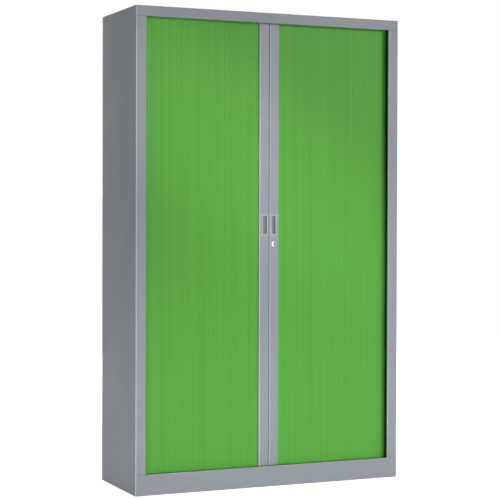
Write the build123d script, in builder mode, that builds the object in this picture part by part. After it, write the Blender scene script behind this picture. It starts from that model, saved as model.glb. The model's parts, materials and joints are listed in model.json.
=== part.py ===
from build123d import *
import math
import os

# A steel tambour cupboard. Two ribbed curtains part sideways on hollow lead bars and run in
# tracks round the front corners, back along the sides and behind the back liner.
# Millimetres, +Z up, front towards -Y, +X to the right seen from the front. The origin is on
# the floor under the middle of the box. Right-hand pieces are drawn and mirrored to the left.

# Overall box
WIDTH = 1200.0
DEPTH = 430.0
HEIGHT = 1980.0

# Carcass sheet
SHEET = 0.8  # thickness of every folded steel panel
BEND = 2.0  # outer radius of a fold
SEAM = 0.4  # gap between two panels that meet side by side
RELIEF = 3.0  # square cut out of a panel's corner, clear of its neighbour's fold

# Front frame
UPRIGHT_WIDTH = 44.0
HEM_DEPTH = 11.5  # the upright's inner edge is folded back to this depth, then outwards
HEM_WIDTH = 9.0
CORNER_STRIP = 3.0  # what the upright keeps beside the rail and the plinth
RAIL_HEIGHT = 42.0
RAIL_RETURN = 10.0
PLINTH_HEIGHT = 85.0
PLINTH_RETURN = 15.0
PLINTH_LEDGE = 16.0

# Back and base
REAR_FLANGE = 20.0
BASE_FLANGE = 20.0
PANEL_DROP = 25.0  # how far the top and the bottom panel are folded down
FLOOR_LEVEL = 70.0  # top of the bottom panel
BACK_RISE = 3.0  # the back panels stay this far above the floor
BACK_SEAM_FOLD = 12.0
BACK_SEAM_CUT = 4.0

# Curtain mat
CURTAIN_SETBACK = 33.0  # from the front of the cupboard to the front of the ribs
CURTAIN_THICKNESS = 3.6
RIB_PITCH = 11.25
RIB_GROOVE = 1.2
RIB_WEB = 0.8  # what joins two ribs at the back of the groove
CORNER_RADIUS = 30.0  # outer face of the mat in the bends
SIDE_INSET = 25.0  # from the side of the cupboard to the outer face of the mat
CURTAIN_TAIL = 20.0  # closed, the mat ends this far past the front bend
REAR_INSET = 7.0  # from the back of the cupboard to the outer face of the mat
REAR_RUN = 160.0  # straight track along the back

# Tracks
TRACK_HEIGHT = 12.0
TRACK_WALL = 1.5
TRACK_FLOOR = 2.0
TRACK_CLEARANCE = 0.6
CURTAIN_END_GAP = 0.5

# Lead bars
BAR_GAP = 0.8  # between the two bars when closed
BAR_WIDTH = 44.8
BAR_DEPTH = 20.0
BAR_PROUD = 8.0  # how far the bar stands in front of the mat
BAR_WALL = 1.5
BAR_FRONT_RADIUS = 3.5
BAR_REAR_RADIUS = 1.5
BAR_END_GAP = 2.0  # from a bar's end to the track
GROOVE_DEPTH = 4.5  # the groove that holds the mat
GROOVE_CLEARANCE = 0.4
MAT_INSERT = 3.0  # how far the mat reaches into the groove
GLIDE_LENGTH = 32.0
GLIDE_CLEARANCE = 0.3

# Finger cups
CUP_LEVEL = 1096.0
CUP_CENTRE = 20.0  # from the middle of the cupboard
BEZEL_WIDTH = 32.0
BEZEL_HEIGHT = 88.0
BEZEL_THICKNESS = 2.0
BEZEL_RADIUS = 3.5
CUP_WIDTH = 20.0
CUP_HEIGHT = 78.0
CUP_DEPTH = 10.0
CUP_WALL = 1.2
CUP_RADIUS = 2.0
CUP_FIT = 0.3

# Lock
LOCK_LEVEL = 1016.0
LOCK_CENTRE = 21.9
LOCK_FACE_RADIUS = 10.0
LOCK_FACE_THICKNESS = 1.6
LOCK_BODY_RADIUS = 8.5
LOCK_BODY_LENGTH = 24.0
LOCK_HOLE_CLEARANCE = 0.2
LOCK_PLUG_RADIUS = 6.0
LOCK_PLUG_CLEARANCE = 0.1
LOCK_PLUG_PROUD = 0.4
KEY_SLOT_WIDTH = 2.0
KEY_SLOT_HEIGHT = 8.5
KEY_SLOT_DEPTH = 8.0
LOCK_NUT_FLATS = 22.0
LOCK_NUT_THICKNESS = 3.0
HOOK_THICKNESS = 2.0
HOOK_GAP = 0.3
HOOK_ARM_WIDTH = 12.0
HOOK_HUB_RADIUS = 9.0
HOOK_REACH = 42.0
HOOK_HEAD_WIDTH = 20.0
HOOK_SQUARE = 7.0
HOOK_SQUARE_CLEARANCE = 0.1
HOOK_SCREW_RADIUS = 2.0
HOOK_SCREW_DEPTH = 6.0
HOOK_SCREW_HEAD_RADIUS = 4.5
HOOK_SCREW_HEAD = 2.2
KEEPER_REACH = 34.0  # from the lock's axis to the keeper pin
KEEPER_PIN_RADIUS = 2.7
KEEPER_PLAY = 0.5
KEEPER_SWEEP = 28.0  # degrees of the notch cut for the pin's path through the hook
KEEPER_PIN_LENGTH = 8.0
KEEPER_PLATE = 2.0
KEEPER_WIDTH = 20.0
KEEPER_HEIGHT = 36.0
KEEPER_SCREW_SPACING = 22.0
KEEPER_SCREW_RADIUS = 2.0
KEEPER_SCREW_HEAD_RADIUS = 3.6
KEEPER_SCREW_HEAD = 1.6

# Liners and stops
LINER_INSET = 48.0  # from the side of the cupboard to the liner's inner face
LINER_FRONT = 48.0  # from the front of the cupboard to the liner's folded edge
LINER_FOLD = 8.0
BACK_LINER_INSET = 32.0  # from the back of the cupboard to the shelf space
BACK_LINER_FOLD = 12.0
STOP_WIDTH = 6.0
STOP_PROUD = 2.5  # how far a stop reaches past the liner into the opening
STOP_DEPTH = 8.0
STOP_HEIGHT = 20.0
STOP_RISE = 230.0  # from the bottom panel to the lower stops
STOP_DROP = 280.0  # from the top of the cupboard to the upper stops

# Shelves
SLOT_PITCH = 64.0
SLOT_WIDTH = 10.0
SLOT_HEIGHT = 6.0
STANDARD_WIDTH = 24.0
STANDARD_DEPTH = 5.0
STANDARD_FRONT = 110.0  # from the front of the cupboard to the middle of the front standards
STANDARD_REAR = 90.0  # from the back of the cupboard to the middle of the rear ones
STANDARD_END_GAP = 6.0
SHELF_COUNT = 4
SLOTS_PER_SHELF = 6
SHELF_FOLD = 28.0
SHELF_LIP = 10.0
SHELF_SIDE_GAP = 1.5
SHELF_FRONT = 65.0  # from the front of the cupboard
SHELF_REAR_GAP = 2.0
CLIP_THICKNESS = 1.2
CLIP_LEDGE = 12.0
CLIP_RISE = 18.0
CLIP_WIDTH = 16.0
CLIP_TONGUE_WIDTH = 8.0
CLIP_TONGUE_HEIGHT = 4.0
CLIP_TONGUE_RISE = 8.0
CLIP_TONGUE_LENGTH = 3.5

# Levelling feet
CHANNEL_SHEET = 1.5
CHANNEL_WIDTH = 50.0
CHANNEL_HEIGHT = 40.0
CHANNEL_LIP = 12.0
CHANNEL_END_GAP = 25.0  # from the front and the back of the cupboard
FOOT_SIDE_INSET = 70.0
FOOT_END_INSET = 60.0
FOOT_RETRACTED = 1.0  # the pads hang this far above the floor
PAD_RADIUS = 20.0
PAD_THICKNESS = 5.0
PAD_BOSS_RADIUS = 9.0
PAD_BOSS_HEIGHT = 6.0
SOCKET_DEPTH = 4.0
SOCKET_CLEARANCE = 0.3
FOOT_SCREW_RADIUS = 5.0
FOOT_SCREW_LENGTH = 52.0
FOOT_SCREW_CHAMFER = 0.8
FOOT_SCREW_CLEARANCE = 0.1
FOOT_NUT_FLATS = 17.0
FOOT_NUT_HEIGHT = 8.0
KEY_FLATS = 5.0
KEY_DEPTH = 6.0
ACCESS_RADIUS = 7.0
PLUG_CAP_RADIUS = 10.0
PLUG_CAP_THICKNESS = 1.5
PLUG_STEM_CLEARANCE = 0.2
PLUG_STEM_DEPTH = 6.0

# Places worked out from the sizes above
SIDE = WIDTH / 2
FRONT = -DEPTH / 2
BACK = DEPTH / 2
CEILING = HEIGHT - SHEET
FLOOR_UNDERSIDE = FLOOR_LEVEL - SHEET
MAT_FRONT = FRONT + CURTAIN_SETBACK
MAT_MIDDLE = MAT_FRONT + CURTAIN_THICKNESS / 2
MAT_SIDE = SIDE - SIDE_INSET - CURTAIN_THICKNESS / 2
MAT_REAR = BACK - REAR_INSET - CURTAIN_THICKNESS / 2
MAT_BEND = CORNER_RADIUS - CURTAIN_THICKNESS / 2
TRACK_SLOT = CURTAIN_THICKNESS + 2 * TRACK_CLEARANCE
TRACK_BASE = CEILING - TRACK_HEIGHT  # lower edge of the top tracks
BAR_INNER = BAR_GAP / 2
BAR_OUTER = BAR_INNER + BAR_WIDTH
BAR_FRONT = MAT_FRONT - BAR_PROUD
BAR_REAR = BAR_FRONT + BAR_DEPTH
BAR_BOTTOM = FLOOR_LEVEL + TRACK_HEIGHT + BAR_END_GAP
BAR_TOP = TRACK_BASE - BAR_END_GAP
LINER = SIDE - LINER_INSET
LINER_FRONT_PLACE = FRONT + LINER_FRONT
BACK_LINER = BACK - BACK_LINER_INSET
STANDARD_FACE = LINER - STANDARD_DEPTH
STANDARD_PLACES = (FRONT + STANDARD_FRONT, BACK - STANDARD_REAR)
SHELF_SIDE = STANDARD_FACE - SHELF_SIDE_GAP
FIRST_SLOT = FLOOR_LEVEL + SLOT_PITCH - SHELF_FOLD + CLIP_TONGUE_RISE
FOOT_PLACES = {
    "front_left": (-SIDE + FOOT_SIDE_INSET, FRONT + FOOT_END_INSET),
    "front_right": (SIDE - FOOT_SIDE_INSET, FRONT + FOOT_END_INSET),
    "rear_left": (-SIDE + FOOT_SIDE_INSET, BACK - FOOT_END_INSET),
    "rear_right": (SIDE - FOOT_SIDE_INSET, BACK - FOOT_END_INSET),
}


def save(name, part):
    part.label = name
    export_step(part, f"parts/{name}.step")


def save_pair(name, part):
    """Write a right-hand piece and its mirror image on the left."""
    save(f"right_{name}", part)
    save(f"left_{name}", mirror(part, about=Plane.YZ))


def folded(points, thickness=SHEET):
    """Add a folded sheet's section: its skin runs through points, its metal lies on the left."""
    with BuildLine() as section:
        FilletPolyline(*points, radius=BEND)
        offset(amount=thickness, side=Side.LEFT)
    make_face(section.edges())


def block(x, y, z, mode=Mode.ADD):
    """A block between the two values of each axis."""
    middle = ((x[0] + x[1]) / 2, (y[0] + y[1]) / 2, (z[0] + z[1]) / 2)
    with Locations(middle):
        Box(x[1] - x[0], y[1] - y[0], z[1] - z[0], mode=mode)


def cut_corner_reliefs(z):
    """Clear a tray's four corners of the side panels' folds."""
    for across in (-1, 1):
        for along in (FRONT, BACK):
            with Locations((across * SIDE, along, (z[0] + z[1]) / 2)):
                Box(2 * RELIEF + 2 * SEAM, 2 * RELIEF, z[1] - z[0], mode=Mode.SUBTRACT)


def add_side_flanges(level):
    """Fold a tray's two ends down against the side panels."""
    for across in (-1, 1):
        ends = sorted((across * (SIDE - SHEET), across * (SIDE - 2 * SHEET)))
        block(ends, (FRONT + BASE_FLANGE, BACK - BASE_FLANGE), (level - PANEL_DROP, level))


def mat_path(start, rear_run):
    """Centre line of the mat's way: front, bend, side, bend, back."""
    return FilletPolyline(
        (start, MAT_MIDDLE),
        (MAT_SIDE, MAT_MIDDLE),
        (MAT_SIDE, MAT_REAR),
        (MAT_SIDE - MAT_BEND - rear_run, MAT_REAR),
        radius=MAT_BEND,
    )


def make_side_panels():
    with BuildPart() as side_panel:
        with BuildSketch():
            folded(
                [
                    (SIDE - UPRIGHT_WIDTH + HEM_WIDTH, FRONT + HEM_DEPTH),
                    (SIDE - UPRIGHT_WIDTH, FRONT + HEM_DEPTH),
                    (SIDE - UPRIGHT_WIDTH, FRONT),
                    (SIDE, FRONT),
                    (SIDE, BACK),
                    (SIDE - REAR_FLANGE, BACK),
                ]
            )
        extrude(amount=HEIGHT)
        cut_x = (SIDE - UPRIGHT_WIDTH - SEAM, SIDE - CORNER_STRIP)
        cut_y = (FRONT - SEAM, FRONT + HEM_DEPTH + SEAM)
        block(cut_x, cut_y, (HEIGHT - RAIL_HEIGHT - SEAM, HEIGHT), Mode.SUBTRACT)
        block(cut_x, cut_y, (0, PLINTH_HEIGHT + SEAM), Mode.SUBTRACT)
        block(
            (SIDE - BASE_FLANGE, SIDE - SHEET),
            (FRONT + BASE_FLANGE, BACK - BASE_FLANGE),
            (0, SHEET),
        )
    save_pair("side_panel", side_panel.part)


def make_top_panel():
    inner = SIDE - SHEET
    rear = BACK - 2 * SHEET
    with BuildPart() as top_panel:
        with BuildSketch(Plane.YZ.offset(-inner)):
            folded(
                [
                    (rear, HEIGHT - PANEL_DROP),
                    (rear, HEIGHT),
                    (FRONT, HEIGHT),
                    (FRONT, HEIGHT - RAIL_HEIGHT),
                    (FRONT + RAIL_RETURN, HEIGHT - RAIL_HEIGHT),
                ]
            )
        extrude(amount=2 * inner)
        for across in (-1, 1):
            end_middle = across * (SIDE - CORNER_STRIP / 2 - SEAM / 2)
            with Locations((end_middle, FRONT, HEIGHT)):
                Box(
                    CORNER_STRIP + SEAM,
                    2 * (RAIL_RETURN + RELIEF),
                    2 * (RAIL_HEIGHT + RELIEF),
                    mode=Mode.SUBTRACT,
                )
            with Locations((across * SIDE, BACK, HEIGHT)):
                Box(
                    2 * (SHEET + RELIEF),
                    2 * (SHEET + RELIEF),
                    2 * (PANEL_DROP + RELIEF),
                    mode=Mode.SUBTRACT,
                )
        seam_cut_z = (HEIGHT - PANEL_DROP - RELIEF, CEILING)
        block(
            (-BACK_SEAM_CUT, BACK_SEAM_CUT),
            (rear - SHEET - BEND, rear + SHEET),
            seam_cut_z,
            Mode.SUBTRACT,
        )
        add_side_flanges(HEIGHT - SHEET)
    save("top_panel", top_panel.part)


def make_bottom_panel():
    inner = SIDE - SHEET
    front = FRONT + SHEET
    rear = BACK - 2 * SHEET
    low = FLOOR_LEVEL - PANEL_DROP
    with BuildPart() as bottom_panel:
        with BuildSketch(Plane.YZ.offset(-inner)):
            folded(
                [
                    (rear, low),
                    (rear, FLOOR_LEVEL),
                    (front, FLOOR_LEVEL),
                    (front, low),
                ]
            )
        extrude(amount=2 * inner)
        cut_corner_reliefs((low - RELIEF, FLOOR_LEVEL + RELIEF))
        block(
            (-BACK_SEAM_CUT, BACK_SEAM_CUT),
            (rear - SHEET - BACK_SEAM_FOLD, rear + SHEET),
            (low - RELIEF, FLOOR_LEVEL + RELIEF),
            Mode.SUBTRACT,
        )
        with Locations(*[(x, y, FLOOR_LEVEL) for x, y in FOOT_PLACES.values()]):
            Hole(radius=ACCESS_RADIUS, depth=2 * SHEET)
        add_side_flanges(FLOOR_UNDERSIDE)
    save("bottom_panel", bottom_panel.part)


def make_plinth():
    end = SIDE - CORNER_STRIP - SEAM
    with BuildPart() as plinth:
        with BuildSketch(Plane.YZ.offset(-end)):
            folded(
                [
                    (FRONT + PLINTH_LEDGE, FLOOR_LEVEL),
                    (FRONT + PLINTH_LEDGE, PLINTH_HEIGHT),
                    (FRONT, PLINTH_HEIGHT),
                    (FRONT, 0),
                    (FRONT + PLINTH_RETURN, 0),
                ]
            )
        extrude(amount=2 * end)
    save("plinth", plinth.part)


def make_back_panels():
    skin = BACK - SHEET
    end = SIDE - SHEET - BEND
    with BuildPart() as back_panel:
        with BuildSketch(Plane.XY.offset(BACK_RISE)):
            folded(
                [
                    (end, skin),
                    (0, skin),
                    (0, skin - BACK_SEAM_FOLD),
                ]
            )
        extrude(amount=CEILING - BACK_RISE)
    save_pair("back_panel", back_panel.part)


def make_liners():
    with BuildPart() as liner:
        with BuildSketch(Plane.XY.offset(FLOOR_LEVEL)):
            folded(
                [
                    (LINER, BACK_LINER + BACK_LINER_FOLD),
                    (LINER, LINER_FRONT_PLACE),
                    (LINER + LINER_FOLD, LINER_FRONT_PLACE),
                ]
            )
        extrude(amount=CEILING - FLOOR_LEVEL)
    save_pair("liner", liner.part)

    with BuildPart() as back_liner:
        with BuildSketch(Plane.XY.offset(FLOOR_LEVEL)):
            folded(
                [
                    (-LINER, BACK_LINER + BACK_LINER_FOLD),
                    (-LINER, BACK_LINER),
                    (LINER, BACK_LINER),
                    (LINER, BACK_LINER + BACK_LINER_FOLD),
                ]
            )
        extrude(amount=CEILING - FLOOR_LEVEL)
    save("back_liner", back_liner.part)


def make_track(name, base, slot_base):
    """A channel with its slot open upwards or downwards, as slot_base says."""
    with BuildPart() as track:
        with BuildSketch(Plane.XY.offset(base)):
            with BuildLine() as way:
                mat_path(BAR_INNER, REAR_RUN)
            trace(way.line, TRACK_SLOT + 2 * TRACK_WALL)
        extrude(amount=TRACK_HEIGHT)
        with BuildSketch(Plane.XY.offset(slot_base)):
            with BuildLine() as way:
                mat_path(BAR_INNER, REAR_RUN)
            trace(way.line, TRACK_SLOT)
        extrude(amount=TRACK_HEIGHT - TRACK_FLOOR, mode=Mode.SUBTRACT)
    save_pair(name, track.part)


def make_curtains():
    """A mat of upright ribs: grooves in its outer face leave a thin web that bends."""
    bottom = FLOOR_LEVEL + TRACK_FLOOR + CURTAIN_END_GAP
    top = CEILING - TRACK_FLOOR - CURTAIN_END_GAP
    start = BAR_OUTER - MAT_INSERT
    bend_end = MAT_MIDDLE + MAT_BEND
    with BuildPart() as curtain:
        with BuildSketch(Plane.XY.offset(bottom)):
            with BuildLine() as way:
                front = Line((start, MAT_MIDDLE), (MAT_SIDE - MAT_BEND, MAT_MIDDLE))
                bend = TangentArc(front @ 1, (MAT_SIDE, bend_end), tangent=front % 1)
                Line(bend @ 1, bend @ 1 + (0, CURTAIN_TAIL))
            trace(way.line, CURTAIN_THICKNESS)
            wire = way.wires()[0]
            first = MAT_INSERT + RIB_PITCH
            for number in range(int((wire.length - first) / RIB_PITCH) + 1):
                share = (first + number * RIB_PITCH) / wire.length
                place = wire @ share
                along = wire % share
                turn = math.degrees(math.atan2(along.Y, along.X))
                with Locations(Location((place.X, place.Y), turn)):
                    with Locations((0, -RIB_WEB)):
                        Rectangle(RIB_GROOVE, CURTAIN_THICKNESS, mode=Mode.SUBTRACT)
        extrude(amount=top - bottom)
    save_pair("curtain", curtain.part)


def make_bars():
    centre = (BAR_INNER + BAR_OUTER) / 2
    lip_front = MAT_FRONT - GROOVE_CLEARANCE
    lip_rear = MAT_FRONT + CURTAIN_THICKNESS + GROOVE_CLEARANCE
    with BuildPart() as lead_bar:
        with BuildSketch(Plane.XY.offset(BAR_BOTTOM)) as section:
            with Locations((centre, (BAR_FRONT + BAR_REAR) / 2)):
                Rectangle(BAR_WIDTH, BAR_DEPTH)
            corners = section.vertices().group_by(Axis.Y)
            fillet(corners[0], BAR_FRONT_RADIUS)
            fillet(corners[-1], BAR_REAR_RADIUS)
            with BuildLine():
                Polyline(
                    (BAR_INNER + BAR_WALL, BAR_FRONT + BAR_WALL),
                    (BAR_OUTER - GROOVE_DEPTH - BAR_WALL, BAR_FRONT + BAR_WALL),
                    (BAR_OUTER - GROOVE_DEPTH - BAR_WALL, lip_rear + BAR_WALL),
                    (BAR_OUTER - BAR_WALL, lip_rear + BAR_WALL),
                    (BAR_OUTER - BAR_WALL, BAR_REAR - BAR_WALL),
                    (BAR_INNER + BAR_WALL, BAR_REAR - BAR_WALL),
                    close=True,
                )
            make_face(mode=Mode.SUBTRACT)
            with Locations((BAR_OUTER - GROOVE_DEPTH / 2, (lip_front + lip_rear) / 2)):
                Rectangle(GROOVE_DEPTH, lip_rear - lip_front, mode=Mode.SUBTRACT)
        extrude(amount=BAR_TOP - BAR_BOTTOM)
        window_half = CUP_WIDTH / 2 + CUP_WALL + CUP_FIT
        window_rise = CUP_HEIGHT / 2 + CUP_WALL + CUP_FIT
        block(
            (CUP_CENTRE - window_half, CUP_CENTRE + window_half),
            (BAR_FRONT - BAR_WALL, BAR_FRONT + 2 * BAR_WALL),
            (CUP_LEVEL - window_rise, CUP_LEVEL + window_rise),
            Mode.SUBTRACT,
        )
    save("left_lead_bar", mirror(lead_bar.part, about=Plane.YZ))

    with BuildPart() as right_bar:
        add(lead_bar.part)
        with BuildSketch(Plane.XZ.offset(-BAR_REAR)):
            with Locations((LOCK_CENTRE, LOCK_LEVEL)):
                Circle(LOCK_BODY_RADIUS + LOCK_HOLE_CLEARANCE)
        extrude(amount=BAR_DEPTH, mode=Mode.SUBTRACT)
    save("right_lead_bar", right_bar.part)


def make_glides():
    """Two plugs close the bar's ends, each with a tongue that runs in the track's slot."""
    centre = (BAR_INNER + BAR_OUTER) / 2
    tongue = TRACK_SLOT - 2 * GLIDE_CLEARANCE
    reach = BAR_END_GAP + TRACK_HEIGHT - TRACK_FLOOR - CURTAIN_END_GAP
    with BuildPart() as glides:
        for plane in (
            Plane((centre, MAT_MIDDLE, BAR_BOTTOM), x_dir=(1, 0, 0), z_dir=(0, 0, -1)),
            Plane((centre, MAT_MIDDLE, BAR_TOP), x_dir=(1, 0, 0), z_dir=(0, 0, 1)),
        ):
            with BuildSketch(plane):
                SlotOverall(GLIDE_LENGTH, tongue)
            extrude(amount=reach)
            with BuildSketch(plane):
                Rectangle(BAR_WIDTH - 2 * GROOVE_DEPTH - 2 * BAR_WALL, tongue + BAR_WALL)
            extrude(amount=BAR_END_GAP - GLIDE_CLEARANCE)
    save_pair("bar_glides", glides.part)


def make_finger_cups():
    with BuildPart() as cup:
        with BuildSketch(Plane.XZ.offset(-BAR_FRONT)):
            with Locations((CUP_CENTRE, CUP_LEVEL)):
                RectangleRounded(BEZEL_WIDTH, BEZEL_HEIGHT, BEZEL_RADIUS)
        extrude(amount=BEZEL_THICKNESS)
        front_edges = cup.faces().sort_by(Axis.Y)[0].edges()
        fillet(front_edges, BEZEL_THICKNESS / 2)
        with BuildSketch(Plane.XZ.offset(-BAR_FRONT)):
            with Locations((CUP_CENTRE, CUP_LEVEL)):
                RectangleRounded(
                    CUP_WIDTH + 2 * CUP_WALL, CUP_HEIGHT + 2 * CUP_WALL, CUP_RADIUS + CUP_WALL
                )
        extrude(amount=-CUP_DEPTH)
        with BuildSketch(Plane.XZ.offset(-BAR_FRONT + BEZEL_THICKNESS)):
            with Locations((CUP_CENTRE, CUP_LEVEL)):
                RectangleRounded(CUP_WIDTH, CUP_HEIGHT, CUP_RADIUS)
        extrude(amount=-(CUP_DEPTH - CUP_WALL + BEZEL_THICKNESS), mode=Mode.SUBTRACT)
    save_pair("finger_cup", cup.part)


def lock_plane(y):
    """An upright plane across the lock's axis, its normal towards the back."""
    return Plane((LOCK_CENTRE, y, LOCK_LEVEL), x_dir=(-1, 0, 0), z_dir=(0, 1, 0))


def make_lock():
    body_end = BAR_FRONT + LOCK_BODY_LENGTH
    plug_front = BAR_FRONT - LOCK_FACE_THICKNESS - LOCK_PLUG_PROUD
    hook_front = body_end + HOOK_GAP
    hook_rear = hook_front + HOOK_THICKNESS
    with BuildPart() as housing:
        with BuildSketch(lock_plane(BAR_FRONT)):
            Circle(LOCK_FACE_RADIUS)
        extrude(amount=-LOCK_FACE_THICKNESS)
        chamfer(housing.faces().sort_by(Axis.Y)[0].edges(), LOCK_FACE_THICKNESS / 2)
        with BuildSketch(lock_plane(BAR_FRONT)):
            Circle(LOCK_BODY_RADIUS)
        extrude(amount=LOCK_BODY_LENGTH)
        with BuildSketch(lock_plane(plug_front)):
            Circle(LOCK_PLUG_RADIUS + LOCK_PLUG_CLEARANCE)
        extrude(amount=2 * LOCK_BODY_LENGTH, mode=Mode.SUBTRACT)
    save("lock_housing", housing.part)

    with BuildPart() as nut:
        with BuildSketch(lock_plane(BAR_REAR)):
            RegularPolygon(LOCK_NUT_FLATS / 2, 6, major_radius=False)
            Circle(LOCK_BODY_RADIUS, mode=Mode.SUBTRACT)
        extrude(amount=LOCK_NUT_THICKNESS)
    save("lock_nut", nut.part)

    with BuildPart() as plug:
        with BuildSketch(lock_plane(plug_front)):
            Circle(LOCK_PLUG_RADIUS)
        extrude(amount=body_end - plug_front)
        chamfer(plug.faces().sort_by(Axis.Y)[0].edges(), LOCK_PLUG_PROUD / 2)
        with BuildSketch(lock_plane(body_end)):
            Rectangle(HOOK_SQUARE, HOOK_SQUARE)
        extrude(amount=hook_rear - body_end)
        with BuildSketch(lock_plane(plug_front)):
            Rectangle(KEY_SLOT_WIDTH, KEY_SLOT_HEIGHT)
        extrude(amount=KEY_SLOT_DEPTH, mode=Mode.SUBTRACT)
        with BuildSketch(lock_plane(hook_rear)):
            Circle(HOOK_SCREW_RADIUS)
        extrude(amount=-HOOK_SCREW_DEPTH, mode=Mode.SUBTRACT)
    save("lock_plug", plug.part)

    with BuildPart() as hook:
        with BuildSketch(lock_plane(hook_front)):
            Circle(HOOK_HUB_RADIUS)
            with Locations((0, HOOK_REACH / 2)):
                Rectangle(HOOK_ARM_WIDTH, HOOK_REACH)
            with Locations((HOOK_HEAD_WIDTH / 2 - HOOK_ARM_WIDTH / 2, KEEPER_REACH)):
                RectangleRounded(
                    HOOK_HEAD_WIDTH, 2 * (HOOK_REACH - KEEPER_REACH), HOOK_ARM_WIDTH / 4
                )
            with BuildLine():
                CenterArc((0, 0), KEEPER_REACH, 90, -KEEPER_SWEEP)
            trace(line_width=2 * (KEEPER_PIN_RADIUS + KEEPER_PLAY), mode=Mode.SUBTRACT)
            with Locations((0, KEEPER_REACH)):
                Circle(KEEPER_PIN_RADIUS + KEEPER_PLAY, mode=Mode.SUBTRACT)
            square = HOOK_SQUARE + 2 * HOOK_SQUARE_CLEARANCE
            Rectangle(square, square, mode=Mode.SUBTRACT)
        extrude(amount=HOOK_THICKNESS)
    save("lock_hook", hook.part)

    with BuildPart() as hook_screw:
        with BuildSketch(lock_plane(hook_rear)):
            Circle(HOOK_SCREW_HEAD_RADIUS)
        extrude(amount=HOOK_SCREW_HEAD)
        chamfer(hook_screw.faces().sort_by(Axis.Y)[-1].edges(), HOOK_SCREW_HEAD / 2)
        with BuildSketch(lock_plane(hook_rear)):
            Circle(HOOK_SCREW_RADIUS)
        extrude(amount=-HOOK_SCREW_DEPTH)
    save("hook_screw", hook_screw.part)


def make_keeper():
    """The plate and pin behind the left bar that the hook turns round."""
    pin = Plane(
        (LOCK_CENTRE - KEEPER_REACH, BAR_REAR, LOCK_LEVEL), x_dir=(-1, 0, 0), z_dir=(0, 1, 0)
    )
    spacing = KEEPER_SCREW_SPACING
    with BuildPart() as keeper:
        with BuildSketch(pin):
            RectangleRounded(KEEPER_WIDTH, KEEPER_HEIGHT, KEEPER_PLATE)
        extrude(amount=KEEPER_PLATE)
        with BuildSketch(pin):
            Circle(KEEPER_PIN_RADIUS)
        extrude(amount=KEEPER_PLATE + KEEPER_PIN_LENGTH)
        chamfer(keeper.faces().sort_by(Axis.Y)[-1].edges(), KEEPER_PIN_RADIUS / 3)
        with BuildSketch(pin):
            with GridLocations(0, spacing, 1, 2):
                Circle(KEEPER_SCREW_RADIUS)
        extrude(amount=KEEPER_PLATE, mode=Mode.SUBTRACT)
    save("lock_keeper", keeper.part)

    with BuildPart() as keeper_screws:
        with BuildSketch(pin.offset(KEEPER_PLATE)):
            with GridLocations(0, spacing, 1, 2):
                Circle(KEEPER_SCREW_HEAD_RADIUS)
        extrude(amount=KEEPER_SCREW_HEAD)
        chamfer(keeper_screws.faces().group_by(Axis.Y)[-1].edges(), KEEPER_SCREW_HEAD / 2)
        with BuildSketch(pin):
            with GridLocations(0, spacing, 1, 2):
                Circle(KEEPER_SCREW_RADIUS)
        extrude(amount=KEEPER_PLATE)
    save("keeper_screws", keeper_screws.part)


def make_stop_buffers():
    """Rubber blocks on the liners' front folds, which the opened bars come to rest against."""
    stop_x = LINER - STOP_PROUD
    with BuildPart() as stop_buffers:
        for level in (FLOOR_LEVEL + STOP_RISE, HEIGHT - STOP_DROP):
            for across in (-1, 1):
                ends = sorted((across * stop_x, across * (stop_x + STOP_WIDTH)))
                block(
                    ends,
                    (LINER_FRONT_PLACE - STOP_DEPTH, LINER_FRONT_PLACE),
                    (level - STOP_HEIGHT / 2, level + STOP_HEIGHT / 2),
                )
        fillet(stop_buffers.edges().filter_by(Axis.Z).group_by(Axis.Y)[0], STOP_WIDTH / 4)
    save("stop_buffers", stop_buffers.part)


def slot_levels():
    """Heights of the slots that fit in a standard."""
    last = TRACK_BASE - STANDARD_END_GAP - SLOT_PITCH / 2
    count = int((last - FIRST_SLOT) / SLOT_PITCH) + 1
    return [FIRST_SLOT + number * SLOT_PITCH for number in range(count)]


def shelf_levels():
    """Heights of the shelves' upper faces."""
    step = SLOTS_PER_SHELF * SLOT_PITCH
    return [FLOOR_LEVEL + (number + 1) * step for number in range(SHELF_COUNT)]


def make_standards():
    for place, middle in zip(("front", "rear"), STANDARD_PLACES):
        half = STANDARD_WIDTH / 2
        with BuildPart() as standard:
            with BuildSketch(Plane.XY.offset(FLOOR_LEVEL)):
                folded(
                    [
                        (LINER, middle + half),
                        (STANDARD_FACE, middle + half),
                        (STANDARD_FACE, middle - half),
                        (LINER, middle - half),
                    ]
                )
            extrude(amount=TRACK_BASE - STANDARD_END_GAP - FLOOR_LEVEL)
            with BuildSketch(Plane.YZ.offset(STANDARD_FACE)):
                with Locations(*[(middle, level) for level in slot_levels()]):
                    Rectangle(SLOT_WIDTH, SLOT_HEIGHT)
            extrude(amount=SHEET, mode=Mode.SUBTRACT)
        save_pair(f"{place}_shelf_standard", standard.part)


def make_shelves():
    front = FRONT + SHELF_FRONT
    rear = BACK_LINER - SHELF_REAR_GAP
    for number, level in enumerate(shelf_levels(), start=1):
        with BuildPart() as shelf:
            with BuildSketch(Plane.YZ.offset(-SHELF_SIDE)):
                folded(
                    [
                        (rear - SHELF_LIP, level - SHELF_FOLD),
                        (rear, level - SHELF_FOLD),
                        (rear, level),
                        (front, level),
                        (front, level - SHELF_FOLD),
                        (front + SHELF_LIP, level - SHELF_FOLD),
                    ]
                )
            extrude(amount=2 * SHELF_SIDE)
            for across in (-1, 1):
                ends = sorted((across * SHELF_SIDE, across * (SHELF_SIDE - SHEET)))
                block(
                    ends,
                    (front + BEND, rear - BEND),
                    (level - SHELF_FOLD + SHEET, level - SHEET),
                )
        save(f"shelf_{number}", shelf.part)


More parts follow.
